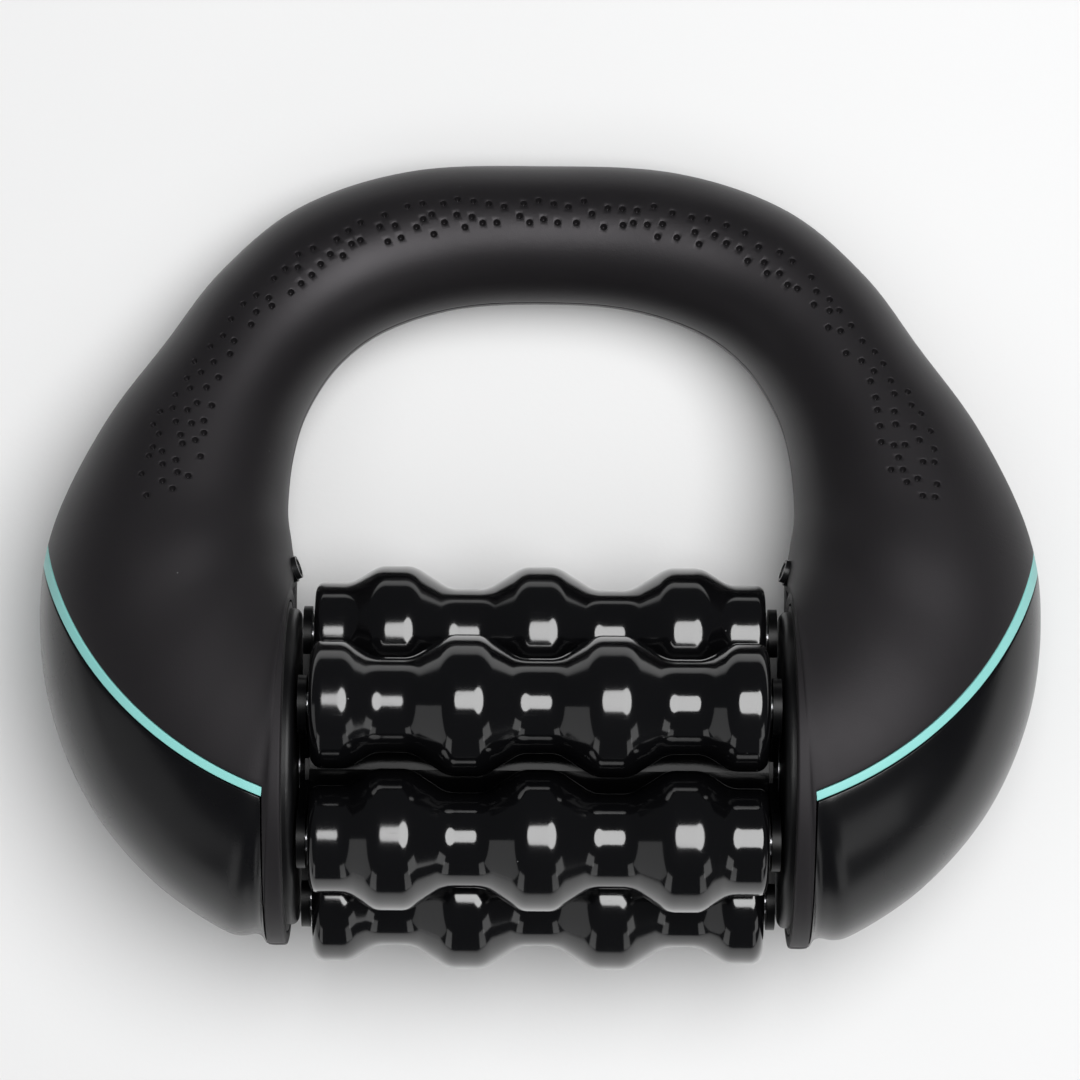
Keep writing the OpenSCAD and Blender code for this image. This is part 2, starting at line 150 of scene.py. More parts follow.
def to_world(p):
    """Handle axes in mm to the shared frame in metres."""
    u, v, w = p[..., 0], p[..., 1], p[..., 2]
    y = AXIS[1] + v * math.cos(TILT) + w * math.sin(TILT)
    z = AXIS[2] - v * math.sin(TILT) + w * math.cos(TILT)
    return np.stack([u, y, z], -1) * MM


# ---------------------------------------------------------------- meshes
def make_object(name, points, faces, body, look, stands_for):
    """A smooth piece on a body, shown in place of the CAD node that it stands for."""
    mesh = bpy.data.meshes.new(name)
    mesh.from_pydata([tuple(p) for p in np.asarray(points).tolist()], [], faces)
    mesh.validate()
    mesh.polygons.foreach_set("use_smooth", [True] * len(mesh.polygons))
    mesh.materials.append(look)
    piece = bpy.data.objects.new(name, mesh)
    bpy.context.scene.collection.objects.link(piece)
    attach(piece, body)
    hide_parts(stands_for)


def edge_offsets(lip):
    """How an edge is rounded, from the cut to the surface: distances from the cut, and the inset at each."""
    turn = np.radians([0, 22.5, 45, 67.5, 90])
    return lip * (1 - np.cos(turn)), lip * (1 - np.sin(turn))


class Plate:
    """A closed curved plate over part of the handle: rows along t, columns at even arc length across.

    Each row's columns run from angle low to angle high, kept clear of both by a gap and rounded at the edges.
    """

    TABLE = 260  # samples of arc length in a row
    EDGE_SHARE = 0.45  # most of a narrow row's length that the gap and lip of one edge may take
    PROBE = 1e-3  # step in t that measures how far apart rows lie
    ROW_APART = 1e-6  # least step in t from a rounded rim to the next row
    SLOPE_PROBE = 1e-4  # step in t and angle that measures the surface's slope at a hole
    RING_LEAST = 16  # a hole with fewer corners round it gets twice as many
    SOLVE_STEPS = 6  # of Newton's method
    MARGIN = 6  # columns beside a plate's edge that stay free of holes
    REACH_MOST = 40  # a block of cut cells reaches less far than this many cells

    def __init__(self, ts, low, high, columns, gap, lip, ends=(0.0, 0.0)):
        insets = np.zeros(len(ts))
        for end, size in enumerate(ends):
            if size:
                ts, low, high, insets = self.round_end(ts, low, high, insets, end, size)
        rows = len(ts)
        # arc length along each row, in a table against the angle
        share = np.linspace(0, 1, self.TABLE)
        table = low[:, None] + (high - low)[:, None] * share
        lengths = np.zeros((rows, self.TABLE))
        path = surface(np.repeat(ts[:, None], self.TABLE, 1), table)
        lengths[:, 1:] = np.cumsum(np.linalg.norm(np.diff(path, axis=1), axis=2), axis=1)
        whole = lengths[:, -1]
        # columns from one rounded edge over an even middle to the other edge
        room = np.minimum(1, self.EDGE_SHARE * whole / (gap + lip))
        along, drawn = edge_offsets(lip)
        start = (gap + along)[None] * room[:, None]
        share = np.linspace(0, 1, columns + 2)[1:-1]
        middle = share * (whole - 2 * start[:, -1])[:, None] + start[:, -1:]
        places = np.hstack([start, middle, (whole[:, None] - start)[:, ::-1]])
        self.angle = np.array([np.interp(places[j], lengths[j], table[j]) for j in range(rows)])
        edge = np.hstack([drawn, np.zeros(columns), drawn[::-1]])[None] * room[:, None]
        inset = insets[:, None] + edge
        # the points outside and inside, and what the holes cut away and add
        self.t = np.repeat(ts[:, None], places.shape[1], 1)
        self.rows, self.cols = rows, places.shape[1]
        outer = surface(self.t, self.angle, inset)
        inner = surface(self.t, self.angle, np.full_like(self.angle, WALL))
        self.points = list(outer.reshape(-1, 3)) + list(inner.reshape(-1, 3))
        self.cut = np.zeros((rows - 1, self.cols - 1), bool)
        self.extra = []

    def round_end(self, ts, low, high, insets, end, size):
        """Adds rows at one end of the plate so that its rim there is rounded."""
        sign = 1 if end == 0 else -1
        step = sign * self.PROBE
        here = ts[0] if end == 0 else ts[-1]
        crest = np.array(math.pi / 2)
        speed = np.linalg.norm(surface(here + step, crest) - surface(here, crest)) / abs(step)
        along, drawn = edge_offsets(size)
        new = here + sign * along / speed
        low_new, high_new = (np.interp(new, ts, x) for x in (low, high))
        keep = sign * ts > sign * new[-1] + self.ROW_APART
        parts = [(new, ts[keep]), (low_new, low[keep]), (high_new, high[keep]), (drawn, insets[keep])]
        if end == 0:
            return [np.concatenate([a, b]) for a, b in parts]
        return [np.concatenate([b, a[::-1]]) for a, b in parts]

    def index(self, j, k, inner=0):
        """The number of the point in row j and column k, on the outside (0) or the inside (1)."""
        return inner * self.rows * self.cols + j * self.cols + k

    def place(self, t, angle, depth, normal):
        """Adds a point below the surface and returns its number."""
        self.points.append(surface(np.array(t), np.array(angle)) - depth * normal)
        return len(self.points) - 1

    def sink(self, t, angle, profile, reach):
        """Sinks a round blind hole near (t, angle), and tells whether there was room for it.

        profile lists (radius, depth) and starts on the surface. reach is how far from the middle the cells
        are cut away.
        """
        j = int(np.argmin(np.abs(self.t[:, 0] - t)))
        k = int(np.argmin(np.abs(self.angle[j] - angle)))
        block = self.block_round(j, k, reach)
        if block is None:
            return False
        j0, j1, k0, k1 = block
        self.cut[j0:j1, k0:k1] = True
        center = surface(self.t[j, k], self.angle[j, k])
        # how the surface runs on along t and along the angle, and axes that touch it at the center
        d = self.SLOPE_PROBE
        du = (surface(self.t[j, k] + d, self.angle[j, k]) - center) / d
        da = (surface(self.t[j, k], self.angle[j, k] + d) - center) / d
        x_axis = du / np.linalg.norm(du)
        normal = np.cross(du, da)
        normal /= np.linalg.norm(normal)
        if np.dot(normal, [0, 0, math.sin(self.angle[j, k])]) < 0:
            normal = -normal
        y_axis = np.cross(normal, x_axis)
        # the corners round the cut cells, and the direction of each from the center
        rim = [(j0, c) for c in range(k0, k1)] + [(r, k1) for r in range(j0, j1)]
        rim += [(j1, c) for c in range(k1, k0, -1)] + [(r, k0) for r in range(j1, j0, -1)]
        ring = [self.index(r, c) for r, c in rim]
        offsets = np.array([self.points[i] - center for i in ring])
        bearing = np.unwrap(np.arctan2(offsets @ y_axis, offsets @ x_axis))
        if len(ring) < self.RING_LEAST:  # a small hole gets a corner between each two of the cells around it
            following = np.append(bearing[1:], bearing[0] + np.sign(bearing[-1] - bearing[0]) * 2 * math.pi)
            bearing = np.stack([bearing, (bearing + following) / 2], 1).ravel()
        jacobian = np.stack([[du @ x_axis, da @ x_axis], [du @ y_axis, da @ y_axis]])
        for radius, depth in profile:
            if radius == 0:
                tip = self.place(self.t[j, k], self.angle[j, k], depth, normal)
                for a, b in zip(ring, ring[1:] + ring[:1]):
                    self.extra.append((a, b, tip))
                break
            targets = radius * np.stack([np.cos(bearing), np.sin(bearing)], 1)
            spots = self.solve(self.t[j, k], self.angle[j, k], targets, center, x_axis, y_axis, jacobian)
            new = [self.place(s[0], s[1], depth, normal) for s in spots]
            self.join(ring, new)
            ring = new
        return True

    def solve(self, t, angle, targets, center, x_axis, y_axis, jacobian):
        """The (t, angle) whose points lie at the targets in the plane that touches the surface at center."""
        inverse = np.linalg.inv(jacobian)
        at = np.tile([t, angle], (len(targets), 1)).astype(float)
        for _ in range(self.SOLVE_STEPS):
            off = surface(at[:, 0], at[:, 1]) - center
            missing = targets - np.stack([off @ x_axis, off @ y_axis], 1)
            at += missing @ inverse.T
        return at

    def join(self, ring, new):
        """Faces between a ring and the next one inward, which has as many corners or twice as many."""
        n, m = len(ring), len(new)
        for i in range(n):
            after = (i + 1) % n
            if m == n:
                self.extra.append((ring[i], ring[after], new[after], new[i]))
            else:
                a, b, c = new[2 * i], new[2 * i + 1], new[(2 * i + 2) % m]
                self.extra += [(ring[i], b, a), (ring[i], ring[after], b), (ring[after], c, b)]

    def block_round(self, j, k, reach):
        """The smallest block of uncut cells about corner (j, k) that reaches far enough on every side."""
        across = self.count_to_reach(j, k, 0, 1, reach)
        along = self.count_to_reach(j, k, 1, 0, reach)
        j0, j1, k0, k1 = j - along, j + along, k - across, k + across
        if j0 < 1 or j1 > self.rows - 2 or k0 < self.MARGIN or k1 > self.cols - 1 - self.MARGIN:
            return None
        return None if self.cut[j0:j1, k0:k1].any() else (j0, j1, k0, k1)

    def count_to_reach(self, j, k, row_step, col_step, reach):
        """How many cells out from corner (j, k) both neighbours lie farther away than reach.

        The steps are 1 along the rows or the columns, and 0 the other way.
        """
        center = self.points[self.index(j, k)]
        for count in range(1, self.REACH_MOST):
            gaps = []
            for side in (-1, 1):
                r = min(max(j + side * count * row_step, 0), self.rows - 1)
                c = min(max(k + side * count * col_step, 0), self.cols - 1)
                gaps.append(np.linalg.norm(self.points[self.index(r, c)] - center))
            if min(gaps) > reach:
                return count
        return self.rows

    def faces(self):
        """The outside without the cut cells, the inside, the four edges, and the faces of the holes."""
        rows, cols = self.rows, self.cols
        out = []
        for j in range(rows - 1):
            for k in range(cols - 1):
                a, b = self.index(j, k), self.index(j, k + 1)
                c, d = self.index(j + 1, k + 1), self.index(j + 1, k)
                if not self.cut[j, k]:
                    out.append((a, b, c, d))
                shift = rows * cols
                out.append((d + shift, c + shift, b + shift, a + shift))
            for k, order in ((0, 1), (cols - 1, -1)):
                quad = (self.index(j, k), self.index(j + 1, k), self.index(j + 1, k, 1), self.index(j, k, 1))
                out.append(quad[::order])
        for k in range(cols - 1):
            for j, order in ((0, -1), (rows - 1, 1)):
                quad = (self.index(j, k), self.index(j, k + 1), self.index(j, k + 1, 1), self.index(j, k, 1))
                out.append(quad[::order])
        return out + self.extra


def mirrored(points, faces):
    """The same mesh on the left side."""
    return np.asarray(points) * [-1, 1, 1], [f[::-1] for f in faces]


def root(f, a, b):
    """Where f changes sign between a and b, by halving."""
    halvings = 60
    for _ in range(halvings):
        m = (a + b) / 2
        if (f(a) > 0) == (f(m) > 0):
            a = m
        else:
            b = m
    return (a + b) / 2


def outer_radius(t):
    """How far the outer end of the section at t lies from the strip's center."""
    s = section(np.array(t))
    return math.hypot(s[2] - STRIP_CENTER[0], s[3] - STRIP_CENTER[1])


def seam_minus_arc(r):
    """A function of t: how far beyond the arc of radius r the section at t crosses the seam."""
    def difference(t):
        s = section(np.array(t))
        mid, half = middle_and_half(s)
        p = mid + half * (SEAM_U - mid[0]) / half[0]
        return math.hypot(*(p - STRIP_CENTER)) - r
    return difference


# The positions where the arcs leave the handle's outline, and where they meet the seam, each looked for
# between two others
END_SEARCH = (6.0, 9.0)
CORNER_SEARCH = (1.3, 3.0)
LOW_END, HIGH_END = (root(lambda t, r=r: outer_radius(t) - r, *END_SEARCH) for r in (R_LOW, R_HIGH))
LOW_CORNER, HIGH_CORNER = (root(seam_minus_arc(r), *CORNER_SEARCH) for r in (R_LOW, R_HIGH))
SEAM_START = 1.0  # the position where the seam begins, at the foot of the pod
SEAM_GAP = 0.3  # the open line between a cap and the shells' collar
POD_END = 7.0  # the position where the pods end and the arms begin
POD_ROWS = 10  # per span between two stations
ARM_SPACING = 1.0  # from row to row
CROWD_REACH = 0.45  # in spans
CROWD_ROWS = 9
ROW_LEAST = 2e-4  # rows closer than this are one row
EDGE_LIP = 0.2  # radius of the edges along the seam, the grooves and the split
SHELL_COLUMNS = 62
CAP_ROWS = 18  # per span
CAP_COLUMNS = 70
CAP_END = 0.004  # positions left free at each end of a cap
STRIP_ROWS = 20  # per span
STRIP_COLUMNS = 4
STRIP_END = 0.01  # positions left free at the outer end of a strip


def crowd(rows, marks):
    """Adds rows that crowd together towards each mark, and sorts them.

    A mark is (position, side): rows come before it (-1), after it (1), or only at it (0).
    """
    start, stop = rows[0], rows[-1]
    for mark, side in marks:
        steps = np.arange(0, CROWD_ROWS) / CROWD_ROWS
        rows = np.append(rows, mark + side * CROWD_REACH * steps**2)
    rows = np.unique(np.round(rows, 5))
    rows = rows[(rows >= start) & (rows <= stop)]
    return rows[np.concatenate([[True], np.diff(rows) > ROW_LEAST])]


def even_rows(start, stop, per_span):
    """Evenly spread positions, so many to each span between two stations."""
    return np.linspace(start, stop, int((stop - start) * per_span) + 1)


def spaced_rows(start, stop, spacing):
    """Rows that lie the same distance apart on the crest of the handle."""
    samples = 2000
    fine = np.linspace(start, stop, samples)
    crest = surface(fine, np.full_like(fine, math.pi / 2))
    travelled = np.append(0, np.cumsum(np.linalg.norm(np.diff(crest, axis=0), axis=1)))
    return np.interp(np.linspace(0, travelled[-1], int(travelled[-1] / spacing) + 1), travelled, fine)


# The rows of both shells: close together at the seam and where the arc ends
half_run = np.append(even_rows(0, POD_END, POD_ROWS), spaced_rows(POD_END, LAST, ARM_SPACING)[1:])
half_run = crowd(half_run, [(SEAM_START, 1), (HIGH_CORNER, 0), (HIGH_END, -1)])
full_run = np.concatenate([half_run, END - half_run[-2::-1]])


def handle_shell(front):
    """The front or back shell, from the groove or the outer edge over to the edge of the opening."""
    split = split_angle(full_run, R_HIGH)
    inside = np.full_like(split, math.pi)
    low, high = (split, inside) if front else (-inside, -split)
    return Plate(full_run, low, high, SHELL_COLUMNS, gap=0.15, lip=EDGE_LIP, ends=(0.4, 0.4))


# Small blind dimples scattered over the crest of the grip and the arms: (radius, depth) from the rim down
DIMPLE = [(0.76, 0), (0.70, 0.03), (0.66, 0.14), (0.61, 0.42), (0.4, 0.78), (0.2, 1.05), (0, 1.2)]
DIMPLE_REACH = 0.8
DIMPLE_SPACING = 2.35
DIMPLE_SPREAD = 1.45  # the widest spacing asked for, as a multiple of the least
DARTS = 9000
SEED = 11
# The band that they lie in: its lower and upper angle, in degrees, at each position along the handle
BAND_T = [7.9, 8.3, 8.9, 9.8, 10.8, 12.0, 13.0, LAST]
BAND_FROM = [84, 77, 70, 71, 76, 74, 72, 74]
BAND_TO = [92, 104, 100, 90, 92, 97, 99, 101]
# A dart's chance to count is 1 at position FULL_AT and falls to SPARSE and rises again in waves
FULL_AT = 9.2
WAVES = 1.35
SPARSE = 0.55


def scatter_dimples(plate):
    """Generic scatter: random darts that keep their distance, from a fixed seed."""
    dice = random.Random(SEED)
    placed = []
    for _ in range(DARTS):
        t = dice.uniform(BAND_T[0], END - BAND_T[0])
        near = min(t, END - t)
        low, high = np.interp(near, BAND_T, BAND_FROM), np.interp(near, BAND_T, BAND_TO)
        angle = math.radians(dice.uniform(low, high))
        if dice.random() > SPARSE + (1 - SPARSE) * math.cos((near - FULL_AT) * WAVES) ** 2:
            continue
        p = surface(np.array(t), np.array(angle))
        if all(np.linalg.norm(p - q) > DIMPLE_SPACING * dice.uniform(1.0, DIMPLE_SPREAD) for q in placed):
            if plate.sink(t, angle, DIMPLE, DIMPLE_REACH):
                placed.append(p)


# Recesses for the screws in the back shell, at these positions: (radius, depth) from the rim down
POST_SECTIONS = [5, 8, 11, LAST, END - 11, END - 8, END - 5]
RECESS_DEPTH = 1.68
RECESS = [(3.32, 0), (3.22, 0), (3.12, 0.1), (3.1, 0.25), (3.1, 1.55), (3.02, 1.66), (2.0, RECESS_DEPTH),
          (1.0, RECESS_DEPTH), (0, RECESS_DEPTH)]
RECESS_REACH = 3.5


def lathe(profile, segments):
    """A closed outline of (radius, x) points turned about X, as points round the origin and faces."""
    profile = np.array(profile)
    turn = np.linspace(0, 2 * math.pi, segments, endpoint=False)
    r, x = profile[:, 0][None], profile[:, 1][None]
    points = np.stack([np.broadcast_to(x, (segments, len(profile))), np.cos(turn)[:, None] * r,
                       np.sin(turn)[:, None] * r], -1).reshape(-1, 3)
    n = len(profile)
    faces = []
    for s in range(segments):
        for i in range(n):
            a, b = s * n + i, s * n + (i + 1) % n
            c, d = ((s + 1) % segments) * n + (i + 1) % n, ((s + 1) % segments) * n + i
            faces.append((a, b, c, d))
    return points, faces


# ---------------------------------------------------------------- rollers
ROLLERS = 6
CREST_R = 14.5
VALLEY_R = 9.7
CREST_PITCH = 30.0
ROLLER_HALF = 46.8
CREST_FLAT = 2.0  # half length of a crest's level top
SLOPE_LEN = 10.8
EASE = 0.3  # share of the slope that curves at each end
BAND_START = 39.2  # the wave stops here, and a plain band runs on to the end
BAND_EASE = 1.5
BUSH_R = 4.0
BUSH_LEN = 8.0
BORE_R = 3.1
FACE_RING = 1.6  # width of the ring round each bush
MOUTH_LIP = 0.4
ROLLER_SEGMENTS = 128
WAVE_POINTS = 241
# (shift of the crests, radius of the end corner) of a roller with a crest, or a valley, in the middle
ODD_ROLLER = (0, 1.8)
EVEN_ROLLER = (CREST_PITCH / 2, 2.6)


def ramp(t):
    """0 to 1 with a straight middle and rounded ends."""
    t = np.clip(t, 0, 1)
    straight = (t - EASE / 2) / (1 - EASE)
    start = t * t / (2 * EASE * (1 - EASE))
    stop = 1 - (1 - t) ** 2 / (2 * EASE * (1 - EASE))
    return np.where(t < EASE, start, np.where(t > 1 - EASE, stop, straight))


def wave_r(x, shift):
    """The radius at x. Beyond BAND_START the wave eases into a level band."""
    run_on = np.clip(np.abs(x) - BAND_START + BAND_EASE, 0, 2 * BAND_EASE) ** 2 / (4 * BAND_EASE)
    x = np.where(np.abs(x) < BAND_START + BAND_EASE, np.abs(x) - run_on, BAND_START)
    p = (x - shift) / CREST_PITCH
    distance = np.abs(p - np.round(p)) * CREST_PITCH
    return CREST_R - (CREST_R - VALLEY_R) * ramp((distance - CREST_FLAT) / SLOPE_LEN)


def arc(center_r, center_x, radius, start, stop, steps):
    """Points (radius, x) on an arc from start to stop degrees."""
    turn = np.radians(np.linspace(start, stop, steps))
    return [(center_r + radius * math.cos(a), center_x + radius * math.sin(a)) for a in turn]


def roller_profile(shift, corner):
    """The closed outline: the wave, the right end with its bush seat, the bore, and the left end."""
    reach = ROLLER_HALF - corner
    wave = [(float(wave_r(x, shift)), x) for x in np.linspace(-reach, reach, WAVE_POINTS)]
    end_r = float(wave_r(ROLLER_HALF, shift)) - corner
    mouth_r = BUSH_R + MOUTH_LIP
    right = arc(end_r, reach, corner, 6, 90, 13)
    right += [(BUSH_R + FACE_RING + MOUTH_LIP, ROLLER_HALF), (mouth_r, ROLLER_HALF)]
    right += arc(mouth_r, ROLLER_HALF - MOUTH_LIP, MOUTH_LIP, 120, 180, 4)
    right += [(BUSH_R, ROLLER_HALF - BUSH_LEN), (BORE_R, ROLLER_HALF - BUSH_LEN)]
    left = [(r, -x) for r, x in right[::-1]]
    return left + wave + right


def build_roller(number):
    """One roller's glossy body, on its own axle."""
    shift, corner = ODD_ROLLER if number % 2 else EVEN_ROLLER
    points, faces = lathe(roller_profile(shift, corner), ROLLER_SEGMENTS)
    node = f"roller_{number}"
    center = np.array(JOINTS[f"{node}_spin"]["pos_m"])
    faces = [f[::-1] for f in faces]
    make_object(f"{node}_gloss", points * MM + center, faces, node, GLOSS, node)


# ---------------------------------------------------------------- materials
NOISE_LOW = 0.3  # most of a noise texture's values lie between these
NOISE_HIGH = 0.7


class Look:
    """A procedural material built on one Principled shader. Its patterns' scales are per metre."""

    def __init__(self, name, color, roughness, **constants):
        self.material = bpy.data.materials.new(name)
        self.material.use_nodes = True
        self.nodes, self.links = self.material.node_tree.nodes, self.material.node_tree.links
        self.shader = self.nodes["Principled BSDF"]
        self.shader.inputs["Base Color"].default_value = (*color, 1)
        self.shader.inputs["Roughness"].default_value = roughness
        for socket, value in constants.items():
            self.shader.inputs[socket.replace("_", " ")].default_value = value
        self.place = self.nodes.new("ShaderNodeTexCoord").outputs["Object"]

    def node(self, kind, **settings):
        """A new node with its settings."""
        made = self.nodes.new(kind)
        for key, value in settings.items():
            setattr(made, key, value)
        return made

    def noise(self, scale, detail, roughness=0.5, stretch=None):
        """A noise pattern. stretch multiplies its coordinates, so 1 keeps a direction long."""
        made = self.node("ShaderNodeTexNoise")
        made.inputs["Scale"].default_value = scale
        made.inputs["Detail"].default_value = detail
        made.inputs["Roughness"].default_value = roughness
        place = self.place
        if stretch:
            mapping = self.node("ShaderNodeMapping")
            mapping.inputs["Scale"].default_value = stretch
            self.links.new(place, mapping.inputs["Vector"])
            place = mapping.outputs["Vector"]
        self.links.new(place, made.inputs["Vector"])
        return made.outputs["Fac"]

    def remap(self, value, from_low, from_high, to_low, to_high):
        """Turns the span from_low to from_high into to_low to to_high, and holds the ends."""
        made = self.node("ShaderNodeMapRange")
        numbers = {"From Min": from_low, "From Max": from_high, "To Min": to_low, "To Max": to_high}
        for name, number in numbers.items():
            made.inputs[name].default_value = number
        self.links.new(value, made.inputs["Value"])
        return made.outputs["Result"]

    def combine(self, operation, a, b):
        """A Math node on two inputs, each a number or a socket."""
        made = self.node("ShaderNodeMath", operation=operation)
        for socket, value in zip(made.inputs, (a, b)):
            if isinstance(value, (int, float)):
                socket.default_value = value
            else:
                self.links.new(value, socket)
        return made.outputs[0]

    def colors(self, factor, dark, light):
        """Mixes two colours, each a tuple or a socket."""
        made = self.node("ShaderNodeMix", data_type="RGBA")
        self.links.new(factor, made.inputs["Factor"])
        for name, color in (("A", dark), ("B", light)):
            socket = [s for s in made.inputs if s.name == name and s.type == "RGBA"][0]
            if isinstance(color, tuple):
                socket.default_value = (*color, 1)
            else:
                self.links.new(color, socket)
        return [s for s in made.outputs if s.type == "RGBA"][0]

    def specks(self, scale, size, share):
        """Sparse dust: 1 in small dots, 0 elsewhere.

        The given share of cells, 1 / scale wide, hold one. Its radius is size, in cells, with a soft edge.
        """
        core = 0.6  # share of the radius inside the soft edge
        cells = self.node("ShaderNodeTexVoronoi")
        cells.inputs["Scale"].default_value = scale
        self.links.new(self.place, cells.inputs["Vector"])
        near = self.remap(cells.outputs["Distance"], size * core, size, 1, 0)
        pick = self.node("ShaderNodeSeparateColor")
        self.links.new(cells.outputs["Color"], pick.inputs["Color"])
        chosen = self.combine("GREATER_THAN", pick.outputs["Red"], 1 - share)
        return self.combine("MULTIPLY", near, chosen)

    def base(self, color):
        """Puts a socket's colour on the shader."""
        self.links.new(color, self.shader.inputs["Base Color"])

    def rough(self, value):
        """Puts a socket's roughness on the shader."""
        self.links.new(value, self.shader.inputs["Roughness"])

    def uneven(self, noise, low, high):
        """A roughness that the noise moves between low and high."""
        return self.remap(noise, NOISE_LOW, NOISE_HIGH, low, high)

    def bump(self, *heights):
        """Each height is (value, distance in metres); they add up."""
        normal = None
        for value, distance in heights:
            made = self.node("ShaderNodeBump")
            made.inputs["Distance"].default_value = distance
            self.links.new(value, made.inputs["Height"])
            if normal is not None:
                self.links.new(normal, made.inputs["Normal"])
            normal = made.outputs["Normal"]
        self.links.new(normal, self.shader.inputs["Normal"])


def soft_touch_black():
    """The shells' soft-touch paint, nearly black and a little dusty."""
    look = Look("soft_touch_black", (0.02, 0.019, 0.021), 0.42, Specular_IOR_Level=0.38, Sheen_Weight=0.03,
                Sheen_Roughness=0.4, Specular_Tint=(1.0, 0.955, 1.0, 1))
    tone = look.colors(look.noise(60, detail=4), (0.0068, 0.0062, 0.0069), (0.0092, 0.0084, 0.0093))
    look.base(look.colors(look.specks(230, size=0.045, share=0.10), tone, (0.11, 0.11, 0.115)))
    # hands have polished the grip a little, and less so the pods
    towards_grip = look.node("ShaderNodeSeparateXYZ")
    look.links.new(look.place, towards_grip.inputs["Vector"])
    drum_y = AXIS[1] * MM
    grip_y = drum_y + 0.11
    pods_y = drum_y + 0.03
    rougher_pods = look.remap(towards_grip.outputs["Y"], grip_y, pods_y, 0, 0.16)
    look.rough(look.combine("ADD", look.uneven(look.noise(35, detail=5), 0.38, 0.46), rougher_pods))
    look.bump((look.noise(4200, detail=2), 0.00002), (look.noise(900, detail=2), 0.000012))
    return look.material


def satin_black(name, color, low, high, specular=0.42):
    """A smoother black, with a roughness between low and high."""
    look = Look(name, color, (low + high) / 2, Specular_IOR_Level=specular)
    tone = look.colors(look.noise(50, detail=4), tuple(c * 0.8 for c in color), tuple(c * 1.2 for c in color))
    look.base(look.colors(look.specks(210, size=0.04, share=0.07), tone, (0.12, 0.12, 0.125)))
    look.rough(look.uneven(look.noise(45, detail=5), low, high))
    look.bump((look.noise(3000, detail=2), 0.000008))
    return look.material


def gloss_black():
    """The rollers' hard gloss, with smudges and fine scratches along X."""
    look = Look("gloss_black", (0.0022, 0.0022, 0.0026), 0.09, Specular_IOR_Level=0.6, Coat_Weight=0.6,
                Coat_Roughness=0.085)
    tone = look.colors(look.noise(40, detail=3), (0.0018, 0.0018, 0.0022), (0.0032, 0.0032, 0.0036))
    look.base(look.colors(look.specks(260, size=0.035, share=0.10), tone, (0.2, 0.2, 0.2)))
    smudge = look.remap(look.noise(38, detail=6, roughness=0.65), 0.35, 0.75, 0.09, 0.17)
    streaks = look.noise(160, detail=2, roughness=0.5, stretch=(1, 14, 14))
    scratches = look.remap(streaks, 0.66, 0.72, 0, 0.07)
    look.rough(look.combine("ADD", smudge, scratches))
    look.bump((look.noise(120, detail=1), 0.000012), (look.noise(1500, detail=2), 0.0000035))
    return look.material


def teal_plastic():
    """The accent strips' satin teal."""
    look = Look("teal_plastic", (0.25, 0.61, 0.577), 0.42, Specular_IOR_Level=0.4)
    look.base(look.colors(look.noise(90, detail=4), (0.229, 0.582, 0.551), (0.271, 0.640, 0.604)))
    look.rough(look.uneven(look.noise(120, detail=4), 0.38, 0.48))
    look.bump((look.noise(2600, detail=2), 0.00001))
    return look.material


def bare_metal(name, color, low, high):
    """Bare metal with a fine grain along X."""
    look = Look(name, color, (low + high) / 2, Metallic=1.0)
    look.base(look.colors(look.noise(140, detail=4), tuple(c * 0.88 for c in color), color))
    grain = look.noise(900, detail=3, roughness=0.6, stretch=(1, 9, 9))
    look.rough(look.uneven(grain, low, high))
    look.bump((grain, 0.00001))
    return look.material


def nylon_black():
    """Moulded black nylon."""
    look = Look("nylon_black", (0.012, 0.012, 0.0125), 0.45, Specular_IOR_Level=0.4)
    look.base(look.colors(look.noise(110, detail=4), (0.009, 0.009, 0.0094), (0.015, 0.015, 0.0156)))
    look.rough(look.uneven(look.noise(200, detail=3), 0.4, 0.52))
    look.bump((look.noise(2200, detail=2), 0.00001))
    return look.material


SOFT = soft_touch_black()
SATIN = satin_black("satin_black", (0.003, 0.003, 0.0036), 0.22, 0.29)
DISC = satin_black("disc_black", (0.0028, 0.0028, 0.0032), 0.36, 0.46, specular=0.33)
# The drum core and plates: black, with extra darkness painted in as the shade that falls deep between the rollers
CORE_SHADED = satin_black("core_black_painted_shade", (0.0016, 0.0016, 0.0018), 0.12, 0.18, specular=0.12)
PLATE_SHADED = satin_black("plate_black_painted_shade", (0.0012, 0.0012, 0.0014), 0.3, 0.4, specular=0.22)
BUTTON = satin_black("button_black", (0.007, 0.007, 0.0076), 0.3, 0.38)
GLOSS = gloss_black()
TEAL = teal_plastic()
NYLON = nylon_black()
BRASS = bare_metal("turned_brass", (0.72, 0.5, 0.22), 0.22, 0.36)
STEEL = bare_metal("turned_steel", (0.56, 0.56, 0.58), 0.2, 0.34)
LOOKS = {"soft_black": SOFT, "satin_black": SATIN, "disc_black": DISC, "button_black": BUTTON, "teal": TEAL,
         "gloss_black": GLOSS, "nylon": NYLON, "brass": BRASS, "steel": STEEL}
# The drum's own parts, deep between the rollers, differ from the rest of their slot: they are darker copies of it,
# with painted shade where the rollers shade them
DRUM_SHADED_LOOKS = {"drum_core": CORE_SHADED, "left_drum_plate": PLATE_SHADED, "right_drum_plate": PLATE_SHADED}


def dress_cad_nodes():
    """Each CAD node keeps its mesh and takes the detailed material of its slot or its own."""
    for row in frame["record"]["subparts"]:
        mesh = frame["nodes"][row["node"]].data
        mesh.materials.clear()
        mesh.materials.append(DRUM_SHADED_LOOKS.get(row["node"], LOOKS[row["material_slot"]]))


